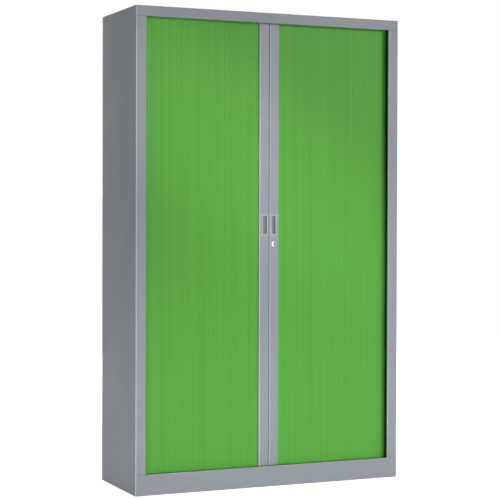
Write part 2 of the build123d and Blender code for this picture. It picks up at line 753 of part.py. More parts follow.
def make_shelf_clips():
    """Each clip hooks its tongue into a slot and holds the shelf up on its ledge."""
    with BuildPart() as shelf_clips:
        for level in shelf_levels():
            under = level - SHELF_FOLD
            for middle in STANDARD_PLACES:
                width = (middle - CLIP_WIDTH / 2, middle + CLIP_WIDTH / 2)
                tongue_width = (
                    middle - CLIP_TONGUE_WIDTH / 2,
                    middle + CLIP_TONGUE_WIDTH / 2,
                )
                tongue_middle = under + CLIP_TONGUE_RISE
                for across in (-1, 1):
                    face = across * STANDARD_FACE
                    back = across * (STANDARD_FACE - CLIP_THICKNESS)
                    ledge = across * (STANDARD_FACE - CLIP_LEDGE)
                    tongue = across * (STANDARD_FACE + CLIP_TONGUE_LENGTH)
                    block(sorted((back, face)), width, (under, under + CLIP_RISE))
                    block(sorted((ledge, face)), width, (under - CLIP_THICKNESS, under))
                    block(
                        sorted((face, tongue)),
                        tongue_width,
                        (
                            tongue_middle - CLIP_TONGUE_HEIGHT / 2,
                            tongue_middle + CLIP_TONGUE_HEIGHT / 2,
                        ),
                    )
    save("shelf_clips", shelf_clips.part)


def make_base_channels():
    centre = SIDE - FOOT_SIDE_INSET
    half = CHANNEL_WIDTH / 2
    web = FLOOR_UNDERSIDE - CHANNEL_HEIGHT
    lip = FLOOR_UNDERSIDE - CHANNEL_SHEET
    length = DEPTH - 2 * CHANNEL_END_GAP
    with BuildPart() as base_channel:
        with BuildSketch(Plane.XZ.offset(length / 2)):
            folded(
                [
                    (centre - half - CHANNEL_LIP, lip),
                    (centre - half, lip),
                    (centre - half, web),
                    (centre + half, web),
                    (centre + half, lip),
                    (centre + half + CHANNEL_LIP, lip),
                ],
                CHANNEL_SHEET,
            )
        extrude(amount=-length)
        with Locations(
            (centre, FRONT + FOOT_END_INSET, web + CHANNEL_SHEET),
            (centre, BACK - FOOT_END_INSET, web + CHANNEL_SHEET),
        ):
            Hole(radius=FOOT_SCREW_RADIUS + TRACK_CLEARANCE, depth=2 * CHANNEL_SHEET)
    save_pair("base_channel", base_channel.part)

    nut_base = web + CHANNEL_SHEET
    with BuildPart() as foot_nuts:
        with BuildSketch(Plane.XY.offset(nut_base)):
            with Locations(*FOOT_PLACES.values()):
                RegularPolygon(FOOT_NUT_FLATS / 2, 6, major_radius=False)
                Circle(FOOT_SCREW_RADIUS + FOOT_SCREW_CLEARANCE, mode=Mode.SUBTRACT)
        extrude(amount=FOOT_NUT_HEIGHT)
    save("foot_nuts", foot_nuts.part)


def make_hole_plugs():
    stem = ACCESS_RADIUS - PLUG_STEM_CLEARANCE
    with BuildPart() as hole_plugs:
        with BuildSketch(Plane.XY.offset(FLOOR_LEVEL)):
            with Locations(*FOOT_PLACES.values()):
                Circle(PLUG_CAP_RADIUS)
        extrude(amount=PLUG_CAP_THICKNESS)
        chamfer(hole_plugs.faces().group_by(Axis.Z)[-1].edges(), PLUG_CAP_THICKNESS / 2)
        with BuildSketch(Plane.XY.offset(FLOOR_LEVEL)):
            with Locations(*FOOT_PLACES.values()):
                Circle(stem)
        extrude(amount=-PLUG_STEM_DEPTH)
    save("hole_plugs", hole_plugs.part)


def make_feet():
    """Each pad carries a screw that turns in the base channel's nut."""
    boss_top = FOOT_RETRACTED + PAD_THICKNESS + PAD_BOSS_HEIGHT
    socket_floor = boss_top - SOCKET_DEPTH
    screw_base = socket_floor + SOCKET_CLEARANCE
    screw_top = screw_base + FOOT_SCREW_LENGTH
    for place, (x, y) in FOOT_PLACES.items():
        with BuildPart() as foot_pad:
            with BuildSketch(Plane((x, y, FOOT_RETRACTED))):
                Circle(PAD_RADIUS)
            extrude(amount=PAD_THICKNESS)
            chamfer(foot_pad.edges().group_by(Axis.Z)[-1], PAD_THICKNESS / 2)
            with BuildSketch(Plane((x, y, FOOT_RETRACTED))):
                Circle(PAD_BOSS_RADIUS)
            extrude(amount=PAD_THICKNESS + PAD_BOSS_HEIGHT)
            with BuildSketch(Plane((x, y, socket_floor))):
                Circle(FOOT_SCREW_RADIUS + SOCKET_CLEARANCE)
            extrude(amount=SOCKET_DEPTH, mode=Mode.SUBTRACT)
        save(f"{place}_foot_pad", foot_pad.part)

        with BuildPart() as foot_screw:
            with BuildSketch(Plane((x, y, screw_base))):
                Circle(FOOT_SCREW_RADIUS)
            extrude(amount=FOOT_SCREW_LENGTH)
            chamfer(foot_screw.edges().group_by(Axis.Z)[0], FOOT_SCREW_CHAMFER)
            with BuildSketch(Plane((x, y, screw_top))):
                RegularPolygon(KEY_FLATS / 2, 6, major_radius=False)
            extrude(amount=-KEY_DEPTH, mode=Mode.SUBTRACT)
        save(f"{place}_foot_screw", foot_screw.part)


def main():
    os.makedirs("parts", exist_ok=True)
    make_side_panels()
    make_top_panel()
    make_bottom_panel()
    make_plinth()
    make_back_panels()
    make_liners()
    make_track("bottom_track", FLOOR_LEVEL, FLOOR_LEVEL + TRACK_FLOOR)
    make_track("top_track", TRACK_BASE, TRACK_BASE)
    make_curtains()
    make_bars()
    make_glides()
    make_finger_cups()
    make_lock()
    make_keeper()
    make_stop_buffers()
    make_standards()
    make_shelves()
    make_shelf_clips()
    make_base_channels()
    make_hole_plugs()
    make_feet()


main()
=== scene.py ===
import json
import math
import random

import bmesh
import bpy
from mathutils import Matrix, Vector


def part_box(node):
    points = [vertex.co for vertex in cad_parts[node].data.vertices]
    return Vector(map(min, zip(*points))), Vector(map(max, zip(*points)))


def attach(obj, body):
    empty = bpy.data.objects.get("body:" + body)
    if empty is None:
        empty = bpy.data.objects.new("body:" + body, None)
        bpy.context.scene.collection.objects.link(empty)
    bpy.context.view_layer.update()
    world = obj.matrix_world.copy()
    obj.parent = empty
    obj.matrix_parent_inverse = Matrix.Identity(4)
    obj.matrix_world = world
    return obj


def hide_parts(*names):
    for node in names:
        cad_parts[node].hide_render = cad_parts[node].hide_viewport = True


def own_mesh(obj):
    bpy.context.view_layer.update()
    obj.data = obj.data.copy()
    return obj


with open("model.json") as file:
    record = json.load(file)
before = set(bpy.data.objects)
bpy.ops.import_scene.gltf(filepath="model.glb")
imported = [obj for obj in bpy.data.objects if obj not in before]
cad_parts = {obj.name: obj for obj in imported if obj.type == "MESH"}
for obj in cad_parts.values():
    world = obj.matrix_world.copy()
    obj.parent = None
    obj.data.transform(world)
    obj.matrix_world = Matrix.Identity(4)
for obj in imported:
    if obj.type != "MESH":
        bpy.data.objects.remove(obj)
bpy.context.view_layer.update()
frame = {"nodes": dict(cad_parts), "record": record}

# The tambour cupboard's finish, its detailed curtains and small fasteners, the lights and the
# camera. Metres, +Z up, the front towards -Y, +X to the right seen from the front.

RANDOM_SEED = 11

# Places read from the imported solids
PANEL_LOW, PANEL_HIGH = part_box("right_side_panel")
BAR_LOW, BAR_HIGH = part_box("right_lead_bar")
CUP_LOW, CUP_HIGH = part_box("right_finger_cup")
LOCK_LOW, LOCK_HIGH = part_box("lock_housing")
SIDE = PANEL_HIGH[0]
FRONT = PANEL_LOW[1]
UPRIGHT_EDGE = PANEL_LOW[0]
RAIL_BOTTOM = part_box("top_panel")[0][2]
PLINTH_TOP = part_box("plinth")[1][2]
BACK_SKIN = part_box("right_back_panel")[1][1]
BAR_INNER = BAR_LOW[0]
BAR_OUTER = BAR_HIGH[0]
BAR_FRONT = BAR_LOW[1]

# Curtain mat
RIB_PITCH = 0.01125
MAT_THICKNESS = 0.0036
MAT_CORNER_RADIUS = 0.030
MAT_INSERT = 0.003
FIRST_GROOVE = MAT_INSERT + RIB_PITCH
MAT_ROWS = 13
# A rib's outer face: distance in from its edge, or out from its middle, and depth below its crown
RIB_EDGE = ((0.00012, 0.0006), (0.00025, 0.00035), (0.00045, 0.00018), (0.0010, 0.00008))
RIB_SHOULDER = 0.0030
RIB_SHOULDER_DEPTH = 0.00004
RIB_EDGE_REACH = 0.002
# The mat's slight waves: height, shift along the mat, how many, and how many numbers are drawn
WAVE_HEIGHT = 0.00012
WAVE_SHIFT = 9
WAVES = 4
WAVE_DRAWS = 8

# Finger cups
BEZEL_WIDTH = 0.037
BEZEL_RISE = 0.0012
POCKET_WIDTH = 0.020
POCKET_HEIGHT = 0.078
POCKET_DEPTH = 0.0088
POCKET_RADIUS = 0.0020
MOUTH_DROP = 0.0002
CUP_WALL = 0.0012
CUP_RADIUS = 0.0032
LIP_WIDTH = 0.0020
CORNER_STEPS = 6
# Each ring: how much narrower it is, its corner radius, and the bezel's share of its rise,
# the lip's height over the bezel, or the height over the pocket's floor
BEZEL_RINGS = (
    (0.0, 0.0030, 0.0),
    (0.0, 0.0030, 0.5),
    (0.0006, 0.0028, 0.85),
    (0.0018, 0.0024, 1.0),
)
LIP_RINGS = (
    (0.0, 0.0040, 0.0),
    (0.0006, 0.0038, 0.0005),
    (0.0018, 0.0033, 0.0008),
    (0.0032, 0.0025, 0.0005),
)
FLOOR_RINGS = ((0.0002, 0.0020, 0.0018), (0.0012, 0.0018, 0.0004), (0.0040, 0.0012, 0.0))

# Lock: each point of its face is a distance in from the edge and a share of the rise
LOCK_BODY_RADIUS = 0.0085
LOCK_BORE_RADIUS = 0.0061
LOCK_DISH = 0.55
LOCK_FACE = (
    (0.0, 0.0),
    (0.0, 0.35),
    (0.0003, 0.75),
    (0.0009, 1.0),
    (0.0017, 1.0),
    (0.0025, 0.75),
    (0.0031, 0.6),
)

# Fasteners
TURNED_STEPS = 40
THREAD_PITCH = 0.0015
THREAD_DEPTH = 0.0004
SCREW_HEAD_RADIUS = 0.0035
SCREW_HEAD_RISE = 0.0007
SCREW_HEAD_EDGE = 0.0001
SCREW_HEAD_RINGS = (1.0, 0.94, 0.75, 0.55, 0.3, 0.1)
RECESS_REACH = 0.6
RECESS_WIDTH = 0.35
RECESS_DEPTH = 0.0004
SCREW_COLUMNS = 5
SCREW_INSET = 0.014
SCREW_SIDE_MARGIN = 0.06
SCREW_SEAM_MARGIN = 0.02

# Painted highlights on the folds that face the left: how far each band reaches from its fold, and
# how strong it is
CORNER_REACH = 0.0042
UPRIGHT_REACH = 0.0030
PLINTH_REACH = 0.0024
PLINTH_SHARE = 0.5
FRAME_FACE_END = 0.0045
FACE_START = 0.0020
BAR_EDGE_SHIFT = 0.0005
BAR_EDGE_REACH = 0.0060
BAR_BAND_START = 0.0022
BAR_BAND_END = 0.0050
BAR_BAND_SHARE = 0.4
BAR_FACE_END = 0.0040
BAR_SIDE_SHIFT = 0.0002
BAR_SIDE_SHARE = 0.55
NEAR_CORE = 0.4
FOLD_METALLIC = 0.3
FOLD_ROUGHNESS = 0.34

# Where the cup's lips and rim get a painted highlight, where the pocket's floor gets painted
# shade, and where the lock gets a painted highlight
LIP_HIGHLIGHT_START = 0.0001
LIP_HIGHLIGHT_END = 0.0004
LIP_METALLIC = 0.2
RIM_SHARE = 0.8
FLOOR_SHADE_START = 0.8
FLOOR_SHADE_END = 0.97
LOCK_HIGHLIGHT_START = 0.0005
LOCK_HIGHLIGHT_END = 0.0050

# Patterns: scale along x, y and z, in waves per metre
FLAKE = (2600, 2600, 2600)
ORANGE_PEEL = (380, 380, 380)
# Patches of the painted highlight along the folds
FOLD_HIGHLIGHT_PATCHES = (14, 14, 5)
PAINT_CLOUD = (3, 3, 2)
RIB_TONE = (88.9, 88.9, 0.35)
DRAWN_STREAK = (900, 900, 2.5)
CURTAIN_GRAIN = (1500, 1500, 1500)
MOULD_GRAIN = (1400, 1400, 1400)
MOULD_CLOUD = (40, 40, 40)
PLATE_STAIN = (60, 60, 60)
RUBBER_PORES = (900, 900, 900)
TURNED_LINES = (3000, 200, 3000)
PLUG_LINES = (3000, 3000, 300)
ROLLED_LINES = (900, 900, 60)
THREAD_LINES = (900, 900, 900)
PAPER = (4, 4, 4)

# Camera: place in metres, angles in degrees, sensor and lens in millimetres
CAMERA_PLACE = (-2.6312, -5.9361, 1.1376)
CAMERA_YAW = 23.879
CAMERA_PITCH = -0.719
CAMERA_ROLL = 0.162
CAMERA_SENSOR = 36
CAMERA_LENS = 108.416
CAMERA_SHIFT_Y = -0.03256

# Studio
FLOOR_REACH = 14
FLOOR_GLOW = 0.92
PAPER_DARK = (0.80, 0.80, 0.80, 1.0)
PAPER_PALE = (0.82, 0.82, 0.82, 1.0)
SKY = (0.93, 0.96, 1.0, 1.0)
AMBIENT = 0.1
FRONT_MIDDLE = (0, -0.2, 1.0)
FRONT_LOW = (0, -0.2, 0.6)
# Lamps: azimuth from the front (degrees, positive to the right), distance from the middle,
# height, what they are aimed at, width, height and power
LAMPS = (
    ("high_right", 30, 6.0, 2.8, FRONT_MIDDLE, 1.2, 1.2, 104),
    ("left", -33, 6.0, 0.4, FRONT_MIDDLE, 1.2, 1.2, 14),
    ("low_front", 5, 3.0, 0.3, FRONT_LOW, 1.0, 0.5, 10),
    ("strip_front", 0, 1.3, 0.12, (0, -0.2, 0.12), 4.0, 0.2, 7.8),
    ("strip_left", -90, 1.6, 0.12, (0, 0, 0.12), 3.0, 0.2, 1.0),
    ("back", 180, 6.0, 2.0, (0, 0.2, 1.0), 1.5, 1.5, 150),
    ("top", 180, 0.9, 5.5, (0, 0, 2.0), 1.5, 1.5, 60),
)
BEAM_POWER = 230
BEAM_PLACE = (-1.2, -5.6, 1.8)
BEAM_AIM = (-0.18, -0.19, 1.42)
BEAM_TURN = 37
BEAM_ANGLE = 9
BEAM_SOFTNESS = 0.15
BEAM_STRETCH = 3.0


def srgb(red, green, blue):
    """Linear colour of an 8-bit sRGB colour."""
    channels = []
    for value in (red, green, blue):
        share = value / 255
        channels.append(share / 12.92 if share <= 0.04045 else ((share + 0.055) / 1.055) ** 2.4)
    return (*channels, 1.0)


PAINT = srgb(152, 157, 165)
BAR_PAINT = srgb(152, 158, 167)
# Colour of the painted highlight on the paint's folds
FOLD_HIGHLIGHT_COLOUR = srgb(205, 208, 214)
CURTAIN_GREEN = srgb(97, 180, 67)
STREAK_DARK = (0.96, 0.96, 0.96, 1.0)
STREAK_PALE = (1.0, 1.0, 1.0, 1.0)
TRACK_GREY = srgb(52, 54, 57)
CUP_SILVER = srgb(158, 162, 170)
# Painted highlight on the cup's lips and rim, and painted shade on its pocket's floor
CUP_LIP_HIGHLIGHT = srgb(244, 240, 246)
CUP_FLOOR_SHADE = srgb(124, 130, 136)
# The lock's highlight colours are painted highlights on its left; the plug's darker grey stands in
# for shade on the lock's right
NICKEL = srgb(156, 157, 158)
NICKEL_HIGHLIGHT = srgb(238, 240, 238)
PLUG = srgb(112, 113, 115)
PLUG_HIGHLIGHT = srgb(232, 234, 232)
ZINC = srgb(178, 181, 184)
THREAD_ZINC = srgb(170, 172, 175)
RUBBER_DARK = srgb(26, 26, 27)
RUBBER_PALE = srgb(38, 38, 39)


# ---------------------------------------------------------------- materials


class Shader:
    """A Principled material and the few node patterns that this scene needs."""

    def __init__(self, name, roughness, metallic=0.0, **sockets):
        self.material = bpy.data.materials.new(name)
        self.material.use_nodes = True
        self.tree = self.material.node_tree
        self.bsdf = self.tree.nodes["Principled BSDF"]
        self.bsdf.inputs["Roughness"].default_value = roughness
        self.bsdf.inputs["Metallic"].default_value = metallic
        for socket, value in sockets.items():
            self.bsdf.inputs[socket.replace("_", " ")].default_value = value
        self.normal = None

    def add(self, kind, **values):
        node = self.tree.nodes.new(kind)
        for key, value in values.items():
            if key in node.inputs:
                node.inputs[key].default_value = value
            else:
                setattr(node, key, value)
        return node

    def link(self, out_socket, in_socket):
        self.tree.links.new(out_socket, in_socket)

    def place(self, scale):
        """Object coordinates, stretched by scale along each axis."""
        coordinates = self.add("ShaderNodeTexCoord")
        mapping = self.add("ShaderNodeMapping", Scale=scale)
        self.link(coordinates.outputs["Object"], mapping.inputs["Vector"])
        return mapping.outputs["Vector"]

    def noise(self, scale, detail=3.0):
        node = self.add("ShaderNodeTexNoise", Scale=1.0, Detail=detail)
        self.link(self.place(scale), node.inputs["Vector"])
        return node.outputs["Fac"]

    def span(self, value, low, high, from_low=0.3, from_high=0.7):
        """Carry the middle of a 0..1 pattern to the range low..high."""
        node = self.add("ShaderNodeMapRange")
        node.inputs["From Min"].default_value = from_low
        node.inputs["From Max"].default_value = from_high
        node.inputs["To Min"].default_value = low
        node.inputs["To Max"].default_value = high
        self.link(value, node.inputs["Value"])
        return node.outputs["Result"]

    def blend(self, factor, first, second, mode="MIX"):
        """Mix two colours, each a socket or a plain colour."""
        node = self.add("ShaderNodeMix", data_type="RGBA", blend_type=mode)
        inputs = [socket for socket in node.inputs if socket.type == "RGBA"]
        for socket, value in zip((node.inputs["Factor"], *inputs), (factor, first, second)):
            if isinstance(value, (float, tuple)):
                socket.default_value = value
            else:
                self.link(value, socket)
        return [socket for socket in node.outputs if socket.type == "RGBA"][0]

    def mottled(self, pattern, colour, darker, paler):
        """The colour, varied by a pattern between two multiples of itself."""
        return self.blend(self.span(pattern, 0, 1), shade(colour, darker), shade(colour, paler))

    def position(self):
        """The three coordinates of a point on the part."""
        coordinates = self.add("ShaderNodeTexCoord")
        split = self.add("ShaderNodeSeparateXYZ")
        self.link(coordinates.outputs["Object"], split.inputs["Vector"])
        return split.outputs["X"], split.outputs["Y"], split.outputs["Z"]

    def operate(self, operation, first, second=None):
        """A Math node; each value is a socket or a number."""
        node = self.add("ShaderNodeMath", operation=operation)
        for number, value in enumerate((first, second)):
            if isinstance(value, (int, float)):
                node.inputs[number].default_value = value
            elif value is not None:
                self.link(value, node.inputs[number])
        return node.outputs["Value"]

    def ramp(self, value, start, end):
        """0 where value is at start or beyond, rising smoothly to 1 at end."""
        node = self.add("ShaderNodeMapRange", interpolation_type="SMOOTHSTEP")
        self.link(value, node.inputs["Value"])
        node.inputs["From Min"].default_value = start
        node.inputs["From Max"].default_value = end
        return node.outputs["Result"]

    def near(self, value, centre, reach):
        """1 where value is about centre, falling to 0 at reach from it."""
        away = self.operate("ABSOLUTE", self.operate("SUBTRACT", value, centre))
        return self.ramp(away, reach, reach * NEAR_CORE)

    def between(self, value, low, high, soft=0.001):
        """1 where value lies between low and high, with soft borders."""
        above = self.ramp(value, low - soft, low)
        return self.operate("MULTIPLY", above, self.ramp(value, high + soft, high))

    def set(self, socket, output):
        """Let a pattern drive one of the Principled shader's sockets."""
        self.link(output, self.bsdf.inputs[socket])

    def bump(self, value, distance):
        """Add one layer of relief, distance metres deep, over the layers given before."""
        node = self.add("ShaderNodeBump", Strength=1.0, Distance=distance)
        self.link(value, node.inputs["Height"])
        if self.normal is not None:
            self.link(self.normal, node.inputs["Normal"])
        self.normal = node.outputs["Normal"]
        self.set("Normal", self.normal)


def shade(colour, factor):
    return tuple(min(1.0, value * factor) for value in colour[:3]) + (1.0,)


def frame_highlight_mask(shader):
    """Mask of a painted highlight: 1 on the left front corner and the right upright's inner fold,
    less on the plinth's.
    """
    x, y, z = shader.position()
    inner = shader.operate(
        "MULTIPLY",
        shader.near(x, UPRIGHT_EDGE, UPRIGHT_REACH),
        shader.between(z, PLINTH_TOP, RAIL_BOTTOM),
    )
    ledge = shader.operate(
        "MULTIPLY",
        shader.near(z, PLINTH_TOP, PLINTH_REACH),
        shader.between(x, -UPRIGHT_EDGE, UPRIGHT_EDGE),
    )
    ledge = shader.operate("MULTIPLY", ledge, PLINTH_SHARE)
    folds = shader.operate("MAXIMUM", shader.near(x, -SIDE, CORNER_REACH), inner)
    folds = shader.operate("MAXIMUM", folds, ledge)
    face = shader.ramp(y, FRONT + FRAME_FACE_END, FRONT + FACE_START)
    return shader.operate("MULTIPLY", folds, face)


def bar_highlight_mask(shader):
    """Mask of a painted highlight: 1 on the left front edge of the left lead bar, less on its side
    and on the right bar.
    """
    x, y, _ = shader.position()
    inner = shader.between(x, BAR_INNER + BAR_BAND_START, BAR_INNER + BAR_BAND_END)
    edges = shader.operate(
        "MAXIMUM",
        shader.near(x, -BAR_OUTER - BAR_EDGE_SHIFT, BAR_EDGE_REACH),
        shader.operate("MULTIPLY", inner, BAR_BAND_SHARE),
    )
    face = shader.ramp(y, BAR_FRONT + BAR_FACE_END, BAR_FRONT + FACE_START)
    side = shader.ramp(x, BAR_SIDE_SHIFT - BAR_OUTER, -BAR_OUTER)
    side = shader.operate("MULTIPLY", side, BAR_SIDE_SHARE)
    return shader.operate("MAXIMUM", shader.operate("MULTIPLY", edges, face), side)


def powder_coat(name, colour, roughness, folds):
    """Grey powder coat: a fine flake, an orange-peel skin, and a painted highlight on the folds
    that the mask gives.
    """
    paint = Shader(name, roughness, Specular_IOR_Level=0.45)
    flake = paint.noise(FLAKE, detail=2.0)
    tone = paint.mottled(flake, colour, darker=0.93, paler=1.07)
    # Painted highlight on the folds, in patches along them, also metallic and smoother there
    highlight_patches = paint.span(paint.noise(FOLD_HIGHLIGHT_PATCHES), low=0.75, high=1.0)
    fold_highlight = paint.operate("MULTIPLY", folds(paint), highlight_patches)
    paint.set("Base Color", paint.blend(fold_highlight, tone, FOLD_HIGHLIGHT_COLOUR))
    paint.set("Metallic", paint.operate("MULTIPLY", fold_highlight, FOLD_METALLIC))
    cloud = paint.span(paint.noise(PAINT_CLOUD), roughness - 0.05, roughness + 0.06)
    smooth = paint.operate("MULTIPLY", fold_highlight, roughness - FOLD_ROUGHNESS)
    paint.set("Roughness", paint.operate("SUBTRACT", cloud, smooth))
    paint.bump(paint.noise(ORANGE_PEEL, detail=2.0), distance=0.00006)
    paint.bump(flake, distance=0.000012)
    return paint.material


def curtain_plastic(name, colour):
    """Matte green plastic: drawn streaks along the ribs, each rib a slightly other tone."""
    plastic = Shader(name, 0.45, Specular_IOR_Level=0.2)
    rib = plastic.noise(RIB_TONE, detail=1.0)
    streak = plastic.noise(DRAWN_STREAK)
    tone = plastic.mottled(rib, colour, darker=0.95, paler=1.05)
    drawn = plastic.blend(plastic.span(streak, 0, 1), STREAK_DARK, STREAK_PALE)
    plastic.set("Base Color", plastic.blend(1.0, tone, drawn, "MULTIPLY"))
    plastic.set("Roughness", plastic.span(streak, low=0.40, high=0.52))
    plastic.bump(streak, distance=0.00003)
    plastic.bump(plastic.noise(CURTAIN_GRAIN, detail=2.0), distance=0.00002)
    return plastic.material


def moulded_plastic(name, colour, roughness):
    """Injection-moulded plastic with a spark-eroded grain."""
    plastic = Shader(name, roughness)
    grain = plastic.noise(MOULD_GRAIN, detail=2.0)
    cloud = plastic.noise(MOULD_CLOUD)
    plastic.set("Base Color", plastic.mottled(grain, colour, darker=0.95, paler=1.05))
    plastic.set("Roughness", plastic.span(cloud, roughness - 0.06, roughness + 0.06))
    plastic.bump(grain, distance=0.00003)
    return plastic.material


def cup_plastic(name, roughness):
    """Silver-sprayed plastic, with a painted highlight on the lips and the rim, and painted shade
    on the pocket's floor.
    """
    plastic = Shader(name, roughness)
    _, y, _ = plastic.position()
    grain = plastic.noise(MOULD_GRAIN, detail=2.0)
    cloud = plastic.noise(MOULD_CLOUD)
    crown = BAR_FRONT - BEZEL_RISE
    # Painted highlight on the lips and on the bezel's rim
    lips = plastic.ramp(y, crown - LIP_HIGHLIGHT_START, crown - LIP_HIGHLIGHT_END)
    rim = plastic.between(y, BAR_FRONT - RIM_SHARE * BEZEL_RISE, BAR_FRONT, soft=0.0002)
    lip_highlight = plastic.operate("MAXIMUM", lips, rim)
    # Painted shade on the pocket's floor
    shade_start, shade_end = (BAR_FRONT + share * POCKET_DEPTH for share in (FLOOR_SHADE_START, FLOOR_SHADE_END))
    silver = plastic.mottled(grain, CUP_SILVER, darker=0.96, paler=1.04)
    silver_and_highlight = plastic.blend(lip_highlight, silver, CUP_LIP_HIGHLIGHT)
    floor_shade = plastic.ramp(y, shade_start, shade_end)
    plastic.set("Base Color", plastic.blend(floor_shade, silver_and_highlight, CUP_FLOOR_SHADE))
    plastic.set("Metallic", plastic.operate("MULTIPLY", lip_highlight, LIP_METALLIC))
    plastic.set("Roughness", plastic.span(cloud, roughness - 0.06, roughness + 0.06))
    plastic.bump(grain, distance=0.000012)
    return plastic.material


def plated_metal(name, colour, roughness, brushing, thread=False, highlight_colour=None):
    """Plated steel: fine scratches along one axis, a little staining, and a thread if asked.

    When a highlight colour is given, it is painted on the left of the lock as a highlight."""
    metal = Shader(name, roughness, metallic=1.0)
    lines = metal.noise(brushing)
    stain = metal.noise(PLATE_STAIN, detail=4.0)
    tone = metal.mottled(stain, colour, darker=0.88, paler=1.05)
    if highlight_colour is not None:
        # Painted highlight on the left of the lock
        x, _, _ = metal.position()
        centre = (LOCK_LOW[0] + LOCK_HIGH[0]) / 2
        left = metal.ramp(x, centre - LOCK_HIGHLIGHT_START, centre - LOCK_HIGHLIGHT_END)
        tone = metal.blend(left, tone, highlight_colour)
    metal.set("Base Color", tone)
    metal.set("Roughness", metal.span(lines, roughness - 0.06, roughness + 0.1))
    metal.bump(lines, distance=0.00001)
    if thread:
        _, _, z = metal.position()
        turn = metal.operate("MULTIPLY", z, 2 * math.pi / THREAD_PITCH)
        metal.bump(metal.operate("SINE", turn), THREAD_DEPTH)
    return metal.material


def rubber(name):
    soft = Shader(name, 0.75)
    pores = soft.noise(RUBBER_PORES, detail=2.0)
    soft.set("Base Color", soft.blend(pores, RUBBER_DARK, RUBBER_PALE))
    soft.bump(pores, distance=0.00005)
    return soft.material


MATERIALS = {
    "body_paint": powder_coat("body_paint", PAINT, 0.48, frame_highlight_mask),
    "bar_paint": powder_coat("bar_paint", BAR_PAINT, 0.44, bar_highlight_mask),
    "curtain_plastic": curtain_plastic("curtain_plastic", CURTAIN_GREEN),
    "track_plastic": moulded_plastic("track_plastic", TRACK_GREY, 0.5),
    "cup_plastic": cup_plastic("cup_plastic", 0.34),
    "nickel": plated_metal("nickel", NICKEL, 0.24, TURNED_LINES, highlight_colour=NICKEL_HIGHLIGHT),
    "lock_plug": plated_metal("lock_plug", PLUG, 0.3, PLUG_LINES, highlight_colour=PLUG_HIGHLIGHT),
    "zinc_steel": plated_metal("zinc_steel", ZINC, 0.4, ROLLED_LINES),
    "thread": plated_metal("thread", THREAD_ZINC, 0.4, THREAD_LINES, thread=True),
    "rubber": rubber("rubber"),
}


def finish_nodes():
    """Give every carried-over solid its slot's material, or one of its own."""
    for part in frame["record"]["subparts"]:
        name, finish = part["node"], part["material_slot"]
        if name == "lock_plug":
            finish = "lock_plug"
        elif name.endswith("_foot_screw"):
            finish = "thread"
        mesh = frame["nodes"][name].data
        mesh.materials.clear()
        mesh.materials.append(MATERIALS[finish])


# ---------------------------------------------------------------- mesh helpers


def add_object(name, data):
    made = bpy.data.objects.new(name, data)
    bpy.context.scene.collection.objects.link(made)
    return made


def new_piece(name, vertices, faces, slot, body, crease):
    """A mesh object with outward normals, smooth but for edges sharper than crease degrees."""
    mesh = bpy.data.meshes.new(name)
    mesh.from_pydata(vertices, [], faces)
    shell = bmesh.new()
    shell.from_mesh(mesh)
    bmesh.ops.recalc_face_normals(shell, faces=shell.faces)
    shell.to_mesh(mesh)
    shell.free()
    mesh.materials.append(MATERIALS[slot])
    mesh.shade_smooth()
    mesh.set_sharp_from_angle(angle=math.radians(crease))
    piece = add_object(name, mesh)
    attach(piece, body)
    return piece


def ring_faces(rings, count, first=0):
    """Quads between neighbouring rings of count points each."""
    faces = []
    for ring in range(rings - 1):
        for k in range(count):
            a = first + ring * count + k
            b = first + ring * count + (k + 1) % count
            faces.append((a, b, b + count, a + count))
    return faces


def rounded_rectangle(width, height, radius):
    """Outline points (across, up), once round from the lower right corner."""
    points = []
    for number, (across, up) in enumerate(((1, -1), (1, 1), (-1, 1), (-1, -1))):
        for step in range(CORNER_STEPS + 1):
            angle = math.radians(90 * (number - 1 + step / CORNER_STEPS))
            x = across * (width / 2 - radius) + radius * math.cos(angle)
            points.append((x, up * (height / 2 - radius) + radius * math.sin(angle)))
    return points


def turned(profile, centre):
    """Points of a profile (radius, y) turned round an axis that runs front to back."""
    points = []
    for radius, y in profile:
        for step in range(TURNED_STEPS):
            angle = 2 * math.pi * step / TURNED_STEPS
            x = centre[0] + radius * math.cos(angle)
            points.append((x, y, centre[1] + radius * math.sin(angle)))
    return points


# ---------------------------------------------------------------- curtains


def mat_section(length):
    """Points (along, depth) across the mat's outer face: crowned ribs between grooves."""
    half = RIB_PITCH / 2
    profile = (
        *((inset - half, depth) for inset, depth in RIB_EDGE),
        (-RIB_SHOULDER, RIB_SHOULDER_DEPTH),
        (0.0, 0.0),
        (RIB_SHOULDER, RIB_SHOULDER_DEPTH),
        *((half - inset, depth) for inset, depth in reversed(RIB_EDGE)),
    )
    points = [(0.0, 0.0)]
    first_rib = FIRST_GROOVE - half
    count = int((length - first_rib - half) / RIB_PITCH) + 1
    for number in range(count):
        centre = first_rib + number * RIB_PITCH
        for along, depth in profile:
            has_groove = number > 0 or along > RIB_EDGE_REACH - half
            if 0 < centre + along < length and has_groove:
                points.append((centre + along, depth))
    points.append((length, 0.0))
    return points


def mat_place(along, depth, start, front, side):
    """Point on the right-hand mat: along its outer face, then depth inwards."""
    straight = side - MAT_CORNER_RADIUS - start
    arc = MAT_CORNER_RADIUS * math.pi / 2
    radius = MAT_CORNER_RADIUS - depth
    if along <= straight:
        return start + along, front + depth
    if along <= straight + arc:
        angle = (along - straight) / MAT_CORNER_RADIUS
        return (
            side - MAT_CORNER_RADIUS + radius * math.sin(angle),
            front + MAT_CORNER_RADIUS - radius * math.cos(angle),
        )
    return side - depth, front + MAT_CORNER_RADIUS + along - straight - arc


